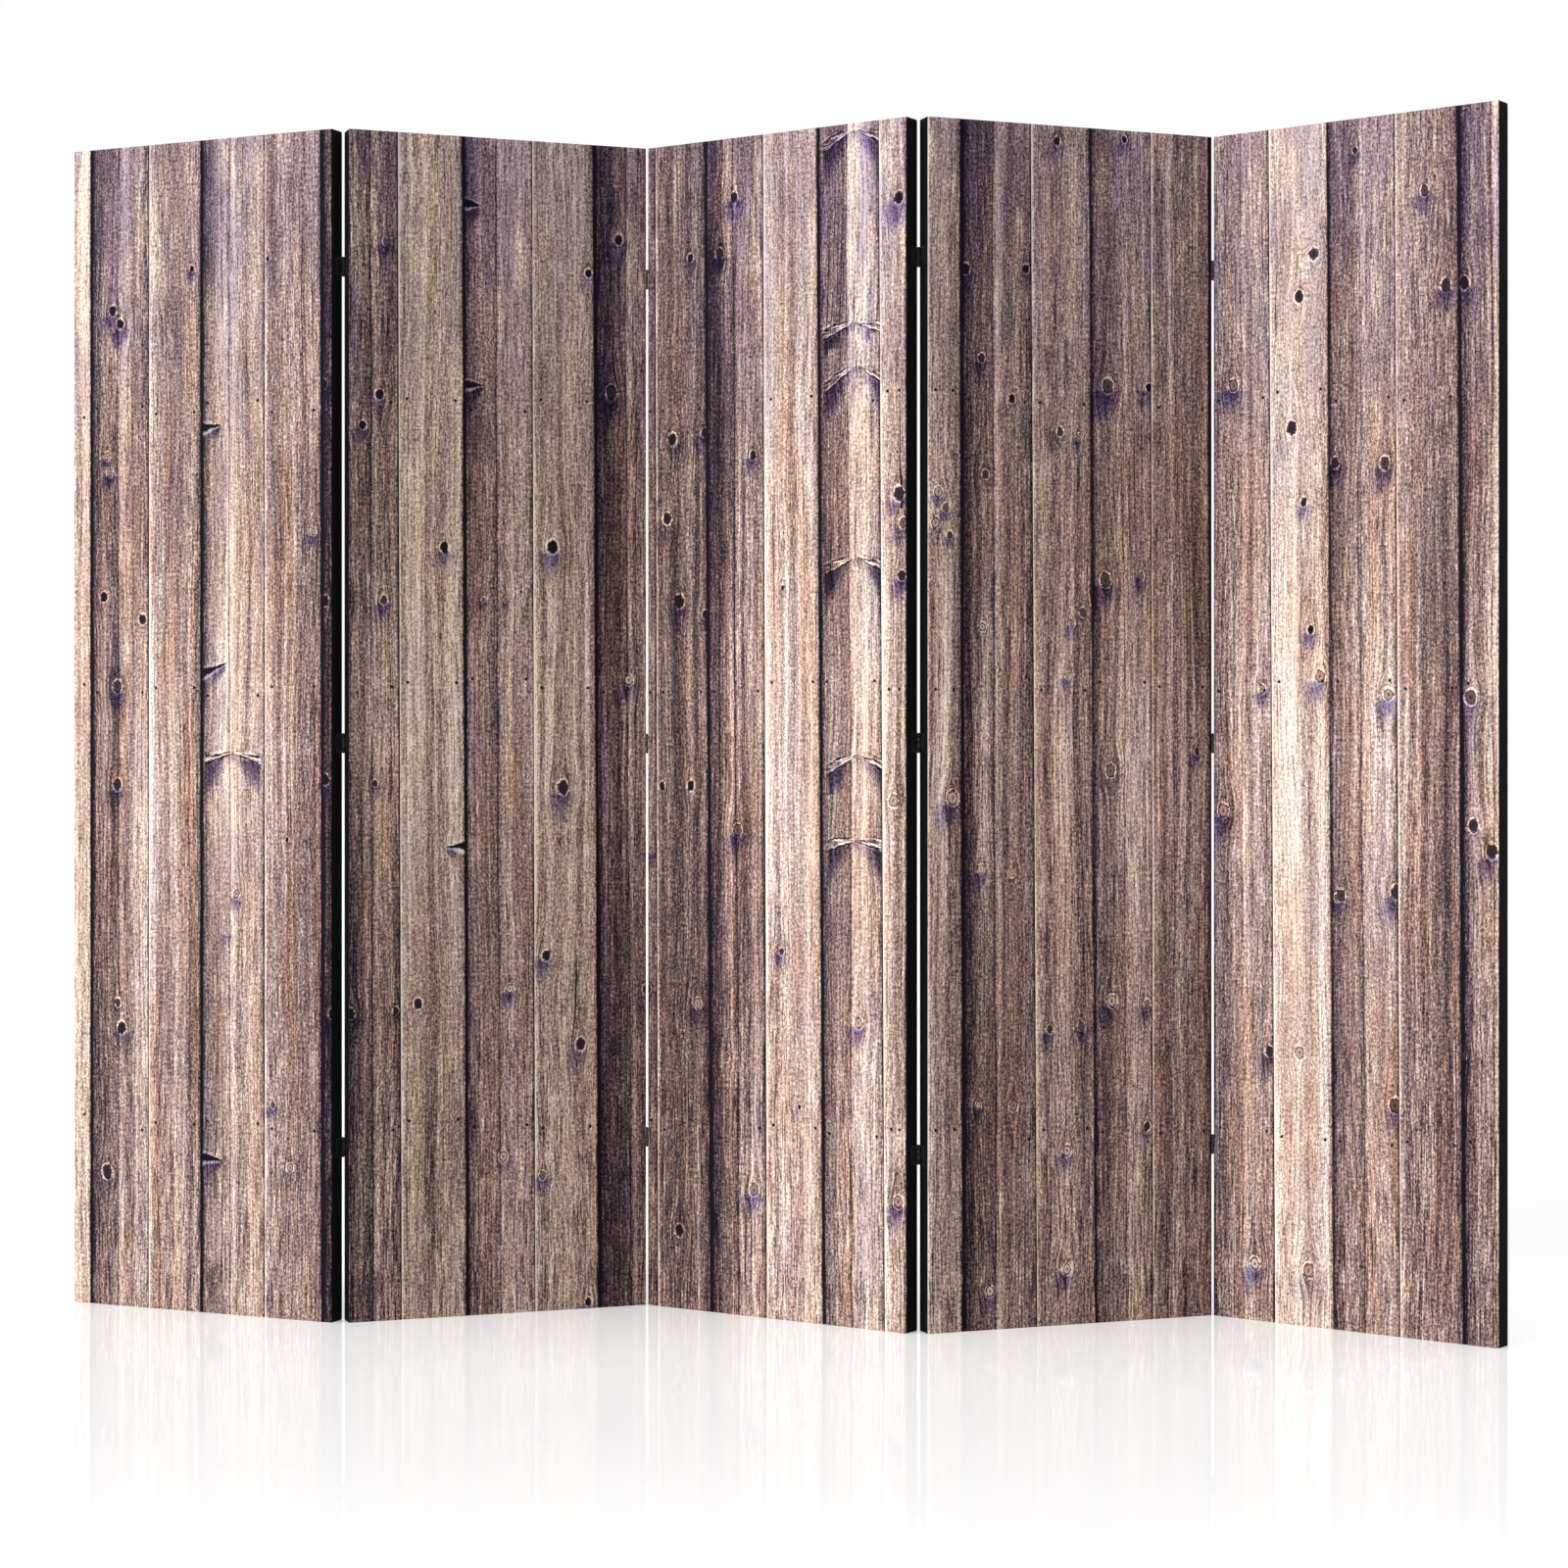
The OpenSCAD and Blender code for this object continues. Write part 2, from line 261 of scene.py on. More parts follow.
# Knots: across, down from the top, radius, and how pale: 0 is a black open knot, 1 a tight light one.
KNOTS = (
    (70, 242, 6, 0), (83, 262, 6, 0), (210, 187, 4, 0), (342, 181, 3, 0), (60, 458, 5, .8),
    (64, 482, 5, .7), (54, 667, 6, 0), (123, 701, 6, .1), (78, 800, 7, .3), (78, 946, 7, .2),
    (375, 1025, 3, 0), (79, 1270, 5, .3), (86, 1307, 7, .1), (351, 1410, 4, .4), (60, 1522, 8, .2),
    (288, 1105, 5, .9), (420, 580, 4, .8), (380, 1500, 5, .8), (273, 1160, 4, 1), (436, 367, 6, 0),
    (495, 381, 6, 0), (470, 426, 5, 0), (440, 680, 6, 0), (501, 678, 5, .3), (440, 938, 6, 0),
    (488, 943, 4, .2), (452, 1275, 6, 0), (519, 1272, 4, .1), (552, 1263, 6, .2), (504, 160, 4, .5),
    (591, 600, 6, 0), (650, 675, 3, .6), (684, 675, 3, .6), (755, 596, 8, 0), (857, 138, 6, 0),
    (810, 190, 5, 0), (846, 365, 8, .2), (771, 950, 8, .2), (798, 1329, 7, .2), (745, 1197, 6, .1),
    (873, 791, 6, 1), (908, 1043, 4, .6), (900, 1250, 5, .2), (690, 1245, 5, 1), (680, 1490, 6, 1),
    (740, 1520, 5, .6), (810, 1710, 5, .1), (1055, 87, 6, .1), (977, 169, 5, 0), (1029, 167, 6, .1),
    (1002, 428, 5, 0), (945, 435, 7, 0), (1088, 465, 5, 0), (935, 552, 7, .1), (957, 675, 8, 0),
    (1004, 695, 5, 0), (926, 948, 5, 0), (978, 947, 6, 0), (1061, 1012, 7, .5), (1138, 1187, 4, .3),
    (990, 1268, 6, .8), (1041, 1345, 5, .6), (1090, 1535, 7, .7), (957, 1605, 7, 0), (1140, 660, 3, .3),
    (1169, 1410, 3, 0), (1337, 113, 7, 0), (1342, 648, 6, .1), (1328, 967, 7, .9), (1388, 963, 8, .9),
    (1336, 1535, 7, .8), (1337, 532, 8, .2), (1344, 574, 6, .5), (1366, 530, 6, .9), (1378, 552, 5, .5),
    (1362, 574, 6, .9), (1384, 590, 4, .3), (1270, 1285, 6, .9), (1408, 213, 6, 0), (1502, 208, 5, 0),
    (1480, 394, 5, 0), (1433, 338, 5, .2), (1439, 503, 5, .3), (1434, 720, 5, .9), (1556, 439, 5, .3),
    (1586, 445, 4, .7), (1551, 22, 5, .1), (1658, 13, 4, .1), (1632, 370, 8, .4), (1698, 370, 5, 0),
    (1628, 650, 8, .4), (1685, 643, 5, .6), (1592, 697, 5, .4), (1575, 713, 4, .8), (1568, 788, 4, .9),
    (1636, 925, 7, .6), (1776, 897, 4, .2), (1432, 1065, 5, 1), (1480, 1070, 5, .9),
    (1638, 1257, 7, .9), (1695, 1263, 5, .6), (1540, 1295, 5, .3), (1590, 1292, 5, .4),
    (1428, 1400, 4, .9), (1483, 1402, 6, .7), (1567, 1470, 6, 1), (1695, 1440, 5, .2),
    (1446, 1665, 6, 1), (1567, 1640, 6, 1), (1833, 365, 7, .6), (1964, 186, 7, .3), (1940, 245, 7, .2),
    (1928, 433, 8, .2), (1948, 540, 5, .1), (1959, 723, 5, 0), (1974, 790, 7, .8), (1816, 983, 8, .8),
    (1893, 1330, 6, .2), (1941, 1329, 7, .9), (1956, 1640, 8, .8), (1868, 1638, 7, 1),
    (2030, 45, 4, .2), (1998, 486, 6, .1), (2076, 491, 7, .3), (2138, 113, 6, .4), (2170, 248, 7, .2),
    (2198, 247, 7, 0), (2082, 817, 7, .8), (2007, 1102, 7, .3), (2095, 1095, 8, .2),
    (2092, 1395, 8, .4), (2208, 822, 8, .5), (2212, 1000, 7, .2), (2240, 1035, 8, .2),
    (1880, 807, 5, .8), (2196, 1320, 5, .3), (2002, 1105, 5, .5))

# Branches that lie across a board: middle, down from the top, reach, slope down from the middle,
# and 1 for a split that starts at the board's left edge or 0 for wings from the middle.
SPURS = (
    (229, 422, 34, -0.1, 1), (229, 782, 44, -0.35, 1), (281, 898, 52, 0.22, 0), (229, 1492, 36, 0.1, 1),
    (621, 97, 26, 0.1, 1), (621, 362, 30, 0.0, 1), (622, 1034, 30, 0.1, 1), (1262, 8, 56, 0.40, 0),
    (1262, 283, 56, 0.30, 0), (1266, 344, 58, 0.58, 0), (1264, 618, 56, 0.36, 0),
    (1268, 900, 54, 0.45, 0), (1264, 1022, 50, 0.20, 0))
NAIL_ROWS = (392, 803, 1445)          # down from the top
NAIL_IN = 0.012                       # metres from a board's edge
NAIL_R = 0.0026                       # metres
PRINT_CELL = 9.0                      # the face cloth's mesh, which holds the picture's measures
KNOT_REACH = 60                       # how far round a knot the cloth knows of it
SPUR_REACH = 70
THREAD = 0.0011                       # metres from one thread of the canvas to the next


def seam(b, z):
    """The left edge of board b at height z, in millimetres."""
    return BOARDS[b][0] + (BOARDS[b][1] - BOARDS[b][0]) * (1 - z / (TALL / MM))


def printed_boards():
    n = Net("printed_boards")
    u, v, seed = n.attribute("print")
    left, right, tone = n.attribute("board")
    kx, kz, kr = n.attribute("knot")
    raised, warm, pale = n.attribute("trait")
    sx, sz, reach = n.attribute("spur")
    slope, gash, contrast = n.attribute("spur_kind")
    low = 1 - raised

    # the grain wanders, and flows round the knots and the branches
    wob = n.noise(n.vec(u * 130, v * 130, seed), detail=2)
    near = n.hill((kx, kr * 2.6), (kz, kr * 4.2))
    wander = n.noise(n.vec(u * 7, v * 1.4, seed * 31), detail=2)
    lean = n.noise(n.vec(u * 26, v * 3.2, seed * 13), detail=1)
    out = n.math("MINIMUM", abs(sx) / reach, 1.5)
    spur_in = n.smooth(out, 0.80, 1.0, 1, 0)
    fan = 0.32 + out * (1.1 - gash * 2.1) + gash * 0.83
    spur_d = (sz + abs(sx) * slope * (0.85 + out * 0.15) + (wob - 0.5) * 0.006) / fan
    sweep = n.exp(-abs(spur_d) / 0.03) * spur_in
    g = u - kx * near * 0.85 + (wander - 0.5) * 0.030 + (lean - 0.5) * 0.007 + sweep * 0.004

    strokes = n.noise(n.vec(g * 700, v * 60, seed * 17), detail=3, roughness=0.70)
    strand = n.noise(n.vec(g * 300, v * 12, seed * 23), detail=5, roughness=0.70)
    pale_strand = n.noise(n.vec(g * 360, v * 20, seed * 19), detail=4, roughness=0.70)
    band = n.noise(n.vec(g * 80, v * 0.7, seed * 29), detail=3, roughness=0.6)
    cloud = n.noise(n.vec(g * 20, v * 1.7, seed * 37), detail=2, roughness=0.5)
    patch = n.noise(n.vec(u * 8, v * 2.4, seed * 5), detail=2, roughness=0.5)
    speck = n.noise(n.vec(u * 330, v * 220, seed), detail=2, roughness=0.85)
    top = n.smooth(v, 1.05, 1.72)
    foot = n.smooth(v, 0.0, 0.62, 1, 0)

    worn = n.smooth(patch * 0.5 + cloud * 0.5, 0.40, 0.60)
    streak = n.noise(n.vec(g * 36, v * 0.5, seed * 61), detail=2, roughness=0.5)
    uneven = (band - 0.5) * 0.72 + (cloud - 0.5) * 0.36 + (patch - 0.5) * 0.34 + (streak - 0.5) * 0.50
    shade = tone + 0.04 + uneven * contrast + (speck - 0.5) * 1.5
    shade = shade - n.smooth(strokes, 0.42, 0.64) * (0.12 + worn * 0.12)
    shade = shade - n.smooth(strand, 0.45, 0.63) * (0.10 + worn * 0.15 + foot * 0.13)
    shade = shade + n.smooth(pale_strand, 0.48, 0.68) * (0.24 + foot * 0.08)
    # cathedral lines of the growth rings
    rings = n.sin(g * 820 + cloud * 18 + band * 10)
    shade = shade - n.smooth(rings, 0.55, 1.0) * 0.13 * n.smooth(band, 0.42, 0.6)
    # bleached at mid height, darker and browner towards the foot
    bleach = n.hill((v - 0.84, 0.24), (band - 0.64, 0.15))
    shade = shade + bleach * 0.18 + top * 0.07 + foot * 0.04
    # open cracks
    crack = n.smooth(n.noise(n.vec(g * 330, v * 3.0, seed * 41), detail=3, roughness=0.6), 0.61, 0.68)
    crack = crack * n.smooth(n.noise(n.vec(u * 21, v * 3, seed * 43), detail=2), 0.44, 0.58)
    shade = shade - crack * 0.50
    # a low board is shaded by the one nailed over it, and has a soft step down its middle
    shadow = (n.hill((left, 0.0034)) * 0.85 + n.exp(-left / 0.010) * 0.26
              + n.smooth(left, 0.0, 0.055, 0.08, 0))
    ridge = left - 0.056 + (cloud - 0.5) * 0.012
    step = (n.smooth(ridge, -0.010, 0.0, -0.07, 0.02) + n.hill((ridge, 0.005)) * 0.14
            - n.hill((ridge + 0.006, 0.001)) * 0.3)
    edge = n.exp(-left / 0.0020) * 0.60
    far = n.exp(-right / 0.0013) * 0.80 + low * n.exp(-right / 0.007) * 0.14
    shade = shade - low * shadow + low * step + raised * edge - far
    # branches across a board: dark splits that fan out, with light lips and a dark smear below
    torn = n.smooth(n.noise(n.vec(u * 70, v * 70, seed), detail=1), 0.40, 0.58)
    sheaf = n.noise(n.vec(spur_d * 300, sx * 26, seed * 3), detail=2, roughness=0.6)
    spread = n.smooth(abs(spur_d + 0.001), 0.0045, 0.0115, 1, 0) * n.smooth(out, 0.04, 0.16)
    hole = n.smooth(abs(spur_d), 0.0036, 0.0058, 1, 0)
    slits = n.clamp(n.smooth(sheaf, 0.50, 0.60) * spread + n.hill((spur_d + 0.0060, 0.0011)) * torn)
    split = (slits * (1 - gash) + hole * gash) * spur_in
    lip = (n.smooth(sheaf, 0.50, 0.40) * spread * (1 - gash)
           + n.hill((spur_d + 0.0085, 0.0028)) * gash * 0.9
           + n.hill((spur_d - 0.0080, 0.0016)) * gash * 0.4) * spur_in
    smear = n.smooth(spur_d, -0.055, -0.008) * n.smooth(spur_d, -0.008, -0.004, 1, 0) * spur_in
    smear = smear * (0.35 + n.smooth(out, 0.2, 0.9) * 0.9)
    crease = (n.hill((sx + (wob - 0.5) * 0.004, 0.0010)) * n.smooth(sz, -0.035, 0.0)
              * n.smooth(sz, 0.02, 0.10, 1, 0) * (1 - gash))
    shade = shade + lip * 0.65 - smear * 0.24 - crease * 0.35
    shade = shade - split * 0.80
    # knots
    jag = n.noise(n.vec(u * 420, v * 420, seed), detail=1)
    kd = n.math("SQRT", kx * kx * 1.05 + kz * kz * 0.66) / kr + (wob - 0.5) * 0.8 + (jag - 0.5) * 0.7
    core = n.smooth(kd, 0.84, 1.0, 1, 0)
    fade = n.smooth(kd, 1.0, 3.2, 1, 0)
    round_it = n.smooth(n.sin(kd * 12 + strand * 4), 0.2, 0.9) * fade
    halo = n.hill((kd - 1.26, 0.18)) * n.smooth(wob, 0.34, 0.52)
    lash = n.hill((kd - 1.02, 0.13))
    under = (n.hill((kx - kz * 0.2, kr * 2.4)) * n.smooth(kz, kr * -8.0, kr * -1.6)
             * n.smooth(kz, kr * -1.6, kr * -0.4, 1, 0) * n.smooth(cloud, 0.35, 0.55))
    heart = n.hill((kx + (wob - 0.5) * 0.006, kr * 0.20), (kz + (jag - 0.5) * 0.004, kr * 0.34))
    eye = 0.02 + pale * (0.74 + n.sin(kd * 15) * 0.12) + (wob - 0.5) * 0.25 * pale - heart * pale * 0.55
    shade = shade + halo * (0.38 + pale * 0.12) - round_it * 0.20 - under * 0.06
    shade = shade + (eye - shade) * core - lash * 0.50 * pale

    colour = n.ramp(n.clamp(shade),
                    (0.00, srgb(17, 12, 21)), (0.18, srgb(49, 37, 45)), (0.36, srgb(98, 79, 80)),
                    (0.52, srgb(143, 119, 113)), (0.68, srgb(189, 163, 152)),
                    (0.84, srgb(229, 207, 193)), (1.00, srgb(254, 242, 231)))
    # stains: violet where damp, most of it high up, ochre and brown lower down and where resin has run
    damp = n.noise(n.vec(g * 24, v * 4, seed * 47), detail=3, roughness=0.6)
    violet = n.smooth(damp + top * 0.10, 0.48, 0.64) * (0.16 + top * 0.32 + low * 0.13)
    violet = n.clamp(violet + under * 1.1 + smear * 1.1 + low * n.exp(-left / 0.014) * 0.6)
    colour = n.mix(violet, colour, srgb(166, 162, 216), "MULTIPLY")
    resin = n.noise(n.vec(g * 30, v * 2.2, seed * 53), detail=3, roughness=0.6)
    ochre = n.smooth(resin - top * 0.05, 0.42, 0.62) * (0.10 + warm * 0.80) * (1 - top * 0.5)
    ochre = n.clamp(ochre + fade * n.smooth(kz, 0.0, kr, 0.05, 0.35) - halo * 0.3)
    colour = n.mix(ochre * 0.7, colour, srgb(240, 200, 162), "MULTIPLY")
    grey = n.clamp((0.5 - warm) * 1.5)
    colour = n.mix(grey, colour, srgb(226, 226, 212), "MULTIPLY")

    # nail heads near the boards' edges
    row = None
    for t in NAIL_ROWS:
        drop = (n.noise(n.vec(seed * 7, t, 0.5), detail=0) - 0.5) * 0.05
        spot = n.hill((v - (TALL - t * MM) - drop, NAIL_R))
        row = spot if row is None else row + spot
    nail = row * (n.hill((left - NAIL_IN, NAIL_R)) + n.hill((right - NAIL_IN, NAIL_R)))
    colour = n.mix(n.smooth(nail, 0.25, 0.6), colour, srgb(26, 20, 24))

    # the canvas's weave
    weave = n.sin(u * (2 * math.pi / THREAD)) * n.sin(v * (2 * math.pi / THREAD))
    slub = n.noise(n.vec(u * 300, v * 300, 0.0), detail=2)
    return n.finish(Base_Color=colour, Roughness=n.linear(shade, 0.0, 1.0, 0.62, 0.82),
                    Specular_IOR_Level=0.06, Normal=n.bump(weave * 0.5 + slub, 0.00008, 0.8))


def black_cloth(name, pitch, deep, mid, dust):
    """The canvas's black border, and the non-woven cover."""
    n = Net(name)
    at = n.here()
    x, y, z = n.split(at)
    fluff = n.noise(at, scale=420, detail=3, roughness=0.7)
    cloud = n.noise(at, scale=9, detail=3)
    weave = n.sin((x + y) * (2 * math.pi / pitch)) * n.sin(z * (2 * math.pi / pitch))
    shade = n.clamp(fluff * 0.5 + cloud * 0.35 + weave * 0.06)
    colour = n.ramp(shade, (0.25, srgb(*deep)), (0.50, srgb(*mid)), (0.72, srgb(*dust)))
    return n.finish(Base_Color=colour, Roughness=n.linear(fluff, 0.3, 0.7, 0.78, 0.95),
                    Specular_IOR_Level=0.05, Normal=n.bump(weave * 0.4 + fluff, 0.00012, 0.7))


def pine(name, heading, along):
    """Planed pine, its grain along the bar: along is "x" for rails and "z" for stiles."""
    n = Net(name)
    x, y, z = n.split(n.turned(n.here(), -heading))
    run, a, b = (z, x, y) if along == "z" else (x, z, y)
    wander = n.noise(n.vec(a * 20, b * 20, run * 1.5), detail=2)
    ring = n.sin((a * 520 + b * 240) + wander * 14)
    hair = n.noise(n.vec(a * 900, b * 900, run * 14), detail=3, roughness=0.6)
    cloud = n.noise(n.vec(a * 14, b * 14, run * 2.5), detail=3)
    shade = n.clamp(0.52 + ring * 0.16 + (hair - 0.5) * 0.35 + (cloud - 0.5) * 0.4)
    colour = n.ramp(shade, (0.15, srgb(176, 128, 80)), (0.5, srgb(213, 172, 122)),
                    (0.85, srgb(233, 203, 158)))
    return n.finish(Base_Color=colour, Roughness=n.linear(hair, 0.3, 0.7, 0.5, 0.68),
                    Normal=n.bump(hair + ring * 0.15, 0.0002, 0.5))


def metal(name, dark, light, base_metal, rough):
    """Painted or plain metal with scuffs, fine scratches and uneven gloss."""
    n = Net(name)
    at = n.here()
    x, y, z = n.split(at)
    cloud = n.noise(at, scale=60, detail=3, roughness=0.6)
    scratch = n.noise(n.vec(x * 300, y * 300, z * 2600), detail=3, roughness=0.7)
    grit = n.noise(at, scale=2400, detail=2)
    shade = n.clamp(cloud * 0.6 + scratch * 0.4)
    between = [(d * 2 + c) / 3 for d, c in zip(dark, light)]
    colour = n.ramp(shade, (0.36, srgb(*dark)), (0.56, srgb(*between)), (0.70, srgb(*light)))
    return n.finish(Base_Color=colour, Metallic=base_metal,
                    Roughness=n.linear(cloud * 0.5 + scratch * 0.5, 0.35, 0.65, rough, rough + 0.22),
                    Normal=n.bump(grit * 0.6 + scratch * 0.4, 0.00005, 0.5))


# ---------------------------------------------------------------- meshes
def add_object(name, vertices, faces, panel, materials):
    mesh = bpy.data.meshes.new(name)
    mesh.from_pydata([tuple(v) for v in vertices], [], faces)
    obj = bpy.data.objects.new(name, mesh)
    bpy.context.collection.objects.link(obj)
    obj.matrix_world = PLACE[panel]
    for m in materials:
        mesh.materials.append(m)
    for f in mesh.polygons:
        f.use_smooth = True
    return obj


def rim(nx, nz):
    """The outermost vertices of a grid, anticlockwise from its lower left."""
    return ([i for i in range(nx)] + [j * nx + nx - 1 for j in range(1, nz)]
            + [(nz - 1) * nx + i for i in range(nx - 2, -1, -1)]
            + [j * nx for j in range(nz - 2, 0, -1)])


SLIVER = 3                            # a board that shows less than this on a panel is left out


def columns(panel):
    """The boards that show on a panel, each with its left and right edges at mid height."""
    start, end = (panel - 1) * WIDE / MM, panel * WIDE / MM
    lines = []
    for b in range(len(BOARDS) - 1):
        l, r = seam(b, TALL / MM / 2), seam(b + 1, TALL / MM / 2)
        if r <= start + SLIVER or l >= end - SLIVER:
            continue
        lines.append((b, max(l, start), min(r, end)))
    return lines


# The face cloth's shell, in millimetres
EDGE_R, BACK_R = 0.9, 0.5             # how round it is over the front and the back edges
SHELL = 0.6                           # the cloth's thickness
LINING_R = 0.8                        # how round its inside is
GRID_IN = 4                           # the face's second and last-but-one rows, from its edge
FLAP_IN, FLAP_TIP = 1.5, 3.0          # the tucked corners, from the faces and from the far edge
FLAP_SIDE = 1.0
FLAP_SUNK, FLAP_PROUD, FLAP_BEVEL = 0.3, 0.45, 0.04


def face_cloth(panel):
    """The stretched canvas: a shell over the face and the edges, turned over at the back."""
    w, h, t = WIDE / MM, TALL / MM, (THICK - CLOTH_T) / MM
    start = (panel - 1) * w
    rows = np.linspace(EDGE_R + GRID_IN, h - EDGE_R - GRID_IN, int(h / PRINT_CELL))
    rows = np.concatenate([[EDGE_R], rows, [h - EDGE_R]])
    strips = columns(panel)

    def across(z):
        """The columns' x at a height, and their boards. Those on a seam lean with it."""
        out, owner = [], []
        for b, l0, r0 in strips:
            l = EDGE_R if l0 <= start else seam(b, z) - start
            r = w - EDGE_R if r0 >= start + w else seam(b + 1, z) - start
            k = max(1, round((r0 - l0) / PRINT_CELL))
            for i in range(k):
                out.append(l + (r - l) * i / k)
                owner.append(b)
        out.append(w - EDGE_R)
        return out, owner

    owner = across(0)[1]
    nx, nz = len(owner) + 1, len(rows)
    front = [(x, 0.0, z) for z in rows for x in across(z)[0]]
    verts = list(front)
    faces, kinds = [], []

    def grid(i, j):
        return j * nx + i

    def cell(i, j):
        return grid(i, j), grid(i + 1, j), grid(i + 1, j + 1), grid(i, j + 1)

    cells = [(i, j) for j in range(nz - 1) for i in range(nx - 1)]
    for i, j in cells:
        faces.append(cell(i, j))
        kinds.append(("front", owner[i]))
    ring = rim(nx, nz)
    corner = {grid(0, 0), grid(nx - 1, 0), grid(0, nz - 1), grid(nx - 1, nz - 1)}

    def at(vertex, inset, y, soft):
        """A rim vertex moved out to the loop that lies inset from the outline, at depth y."""
        x, _, z = front[vertex]
        i, j = vertex % nx, vertex // nx
        x = inset if i == 0 else w - inset if i == nx - 1 else min(max(x, inset), w - inset)
        z = inset if j == 0 else h - inset if j == nz - 1 else min(max(z, inset), h - inset)
        if vertex in corner:
            x += soft if i == 0 else -soft
            z += soft if j == 0 else -soft
        return (x, y, z)

    # loops of the rim, from the face outwards, over the edge and back in: inset, depth, corner softness
    turn = TURN_OVER / MM
    quarter = [math.radians(a) for a in (30, 60, 90)]
    profile = [(EDGE_R * (1 - math.sin(a)), EDGE_R * (1 - math.cos(a)), 0.25) for a in quarter]
    profile += [(0, t * 0.35, 0.3), (0, t * 0.7, 0.3), (0, t - BACK_R, 0.3)]
    profile += [(BACK_R * (1 - math.cos(a)), t - BACK_R * (1 - math.sin(a)), 0.25) for a in quarter[:2]]
    profile += [(BACK_R, t, 0.2), (turn / 2, t, 0), (turn, t, 0)]
    inner = [(turn, t - SHELL, 0), (turn / 2, t - SHELL, 0), (SHELL * 2, t - SHELL, 0),
             (SHELL, t - SHELL - LINING_R, 0.2), (SHELL, SHELL + LINING_R, 0.2),
             (SHELL * 2, SHELL, 0.2)]
    last, printed = ring, len(quarter) - 1
    for k, (inset, y, soft) in enumerate(profile + inner):
        new = []
        for r in ring:
            new.append(len(verts))
            verts.append(at(r, inset, y, soft))
        for a in range(len(ring)):
            b = (a + 1) % len(ring)
            faces.append((last[b], last[a], new[a], new[b]))
            kinds.append(("rim" if k < printed else "dark", None))
        last = new
    # the inside of the face, closed with the same grid
    inside = dict(zip(ring, last))
    for v, (x, _, z) in enumerate(front):
        if v not in inside:
            inside[v] = len(verts)
            verts.append((x, SHELL, z))
    for i, j in cells:
        faces.append(tuple(inside[q] for q in cell(i, j)[::-1]))
        kinds.append(("dark", None))
    # the tucked corners lie on the top edge
    flap = [(FLAP_SIDE, FLAP_IN), (FLAP_SIDE, t - FLAP_IN), (t - FLAP_TIP, t - FLAP_IN)]
    cx, cy = sum(p[0] for p in flap) / 3, sum(p[1] for p in flap) / 3
    for side in (0, 1):
        base = len(verts)
        for lift, bevel in ((-FLAP_SUNK, 0), (FLAP_PROUD, FLAP_BEVEL)):
            for px, py in flap:
                px, py = px + (cx - px) * bevel, py + (cy - py) * bevel
                verts.append((px if side == 0 else w - px, py, h + lift))
        for f in ((2, 1, 0), (3, 4, 5), (0, 1, 4, 3), (1, 2, 5, 4), (2, 0, 3, 5)):
            f = tuple(base + q for q in f)
            faces.append(f if side == 1 else f[::-1])
            kinds.append(("dark", None))
    obj = add_object(f"panel_{panel}_canvas", np.array(verts) * MM, faces, panel,
                     (BOARDS_PRINT, BLACK_CANVAS))
    write_picture(obj.data, panel, kinds, w)
    return obj


def nearest(items, u, z, board, reach):
    """The item of a list nearest to a point and on the same board, or None."""
    best, found = reach, None
    for item in items:
        if seam(board, z) <= item[0] < seam(board + 1, z):
            d = math.hypot(item[0] - u, (TALL / MM - item[1] - z) * 0.5)
            if d < best:
                best, found = d, item
    return found


def write_picture(mesh, panel, kinds, w):
    """Gives every face corner of the cloth its place in the picture, for the printed material."""
    start = (panel - 1) * w
    size = len(mesh.loops)
    layers = ("print", "board", "knot", "trait", "spur", "spur_kind")
    data = {k: np.zeros((size, 3), dtype=np.float32) for k in layers}
    for f, (kind, board) in zip(mesh.polygons, kinds):
        f.material_index = 1 if kind == "dark" else 0
        if kind == "dark":
            continue
        c = f.center
        u0, z0 = c.x / MM + start, c.z / MM
        if board is None:
            board = next(b for b in range(len(BOARDS) - 1)
                         if seam(b, z0) <= u0 < seam(b + 1, z0))
        knot = nearest(KNOTS, u0, z0, board, KNOT_REACH)
        spur = nearest(SPURS, u0, z0, board, SPUR_REACH)
        edge, _, raised, tone, warm = BOARDS[board]
        contrast = CONTRAST.get(edge, 1.0)
        for li in f.loop_indices:
            co = mesh.vertices[mesh.loops[li].vertex_index].co
            u, z = co.x / MM + start, co.z / MM
            data["print"][li] = (u * MM, z * MM, board + 1)
            data["board"][li] = ((u - seam(board, z)) * MM, (seam(board + 1, z) - u) * MM, tone)
            if knot:
                data["knot"][li] = ((u - knot[0]) * MM, (z - (TALL / MM - knot[1])) * MM, knot[2] * MM)
            else:
                data["knot"][li] = (1.0, 1.0, 0.005)
            data["trait"][li] = (raised, warm, knot[3] if knot else 0)
            if spur:
                data["spur"][li] = ((u - spur[0]) * MM, (z - (TALL / MM - spur[1])) * MM, spur[2] * MM)
                data["spur_kind"][li] = (spur[3], spur[4], contrast)
            else:
                data["spur"][li] = (1.0, 1.0, 0.01)
                data["spur_kind"][li] = (0, 0, contrast)
    for key, values in data.items():
        layer = mesh.attributes.new(key, "FLOAT_VECTOR", "CORNER")
        layer.data.foreach_set("vector", values.ravel())


# The backing cloth, in millimetres
STAPLE_PITCH = 200
SIDE_STAPLES = [60 + STAPLE_PITCH * i for i in range(9)]
END_STAPLES = (60, 225, 390)
STAPLE_INSET = 15
BORDER, MIDDLE = 33, 45               # where the mesh is finer, and where it is coarser
PULL, PULL_REACH = 0.8, 30            # how far its free edge is drawn in between two staples
DENT, DENT_R = 0.32, 7                # how far a staple presses it in
RIPPLE, RIPPLE_REACH = 0.10, 14
SUNK = 0.12                           # its surface, under the CAD solid's


